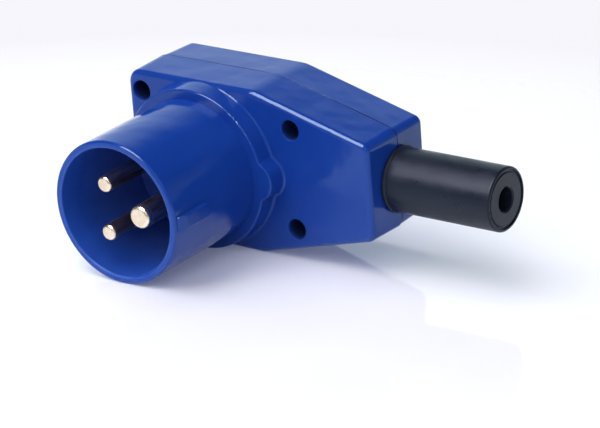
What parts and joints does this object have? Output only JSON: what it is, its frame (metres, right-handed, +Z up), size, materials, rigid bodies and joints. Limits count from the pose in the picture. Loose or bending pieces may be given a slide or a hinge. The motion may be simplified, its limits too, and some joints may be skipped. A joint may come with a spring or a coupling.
{
  "type": "angled plug",
  "caption": "Right-angle mains plug: round contact shroud with key and three brass pins, flat two-part case, and a straight rubber cable sleeve leaving sideways.",
  "frame": {"origin": "centre of the contact shroud's mouth, on the shroud's axis", "axes": "-Y is the direction the plug goes in, +X is the way the cable leaves and the side of the key and earth pin, +Z is up with the plug lying on its side"},
  "size_m": [0.1241, 0.0724, 0.052],
  "materials": {
    "case_blue": "glossy moulded blue plastic",
    "carrier_blue": "moulded blue plastic, a little duller",
    "brass": "bright turned brass",
    "screw_steel": "zinc-plated steel",
    "clamp_plastic": "matt black moulded plastic",
    "black_rubber": "satin black rubber"
  },
  "bodies": {
    "root": {"front_shell": "case_blue", "rear_cover": "case_blue", "contact_carrier": "carrier_blue", "line_pin": "brass", "neutral_pin": "brass", "earth_pin": "brass", "terminal_screws": "screw_steel", "carrier_screws": "screw_steel", "cord_clamp": "clamp_plastic", "cord_clamp_screws": "screw_steel", "cable_sleeve": "black_rubber", "case_screws": "screw_steel"}
  },
  "joints": []
}
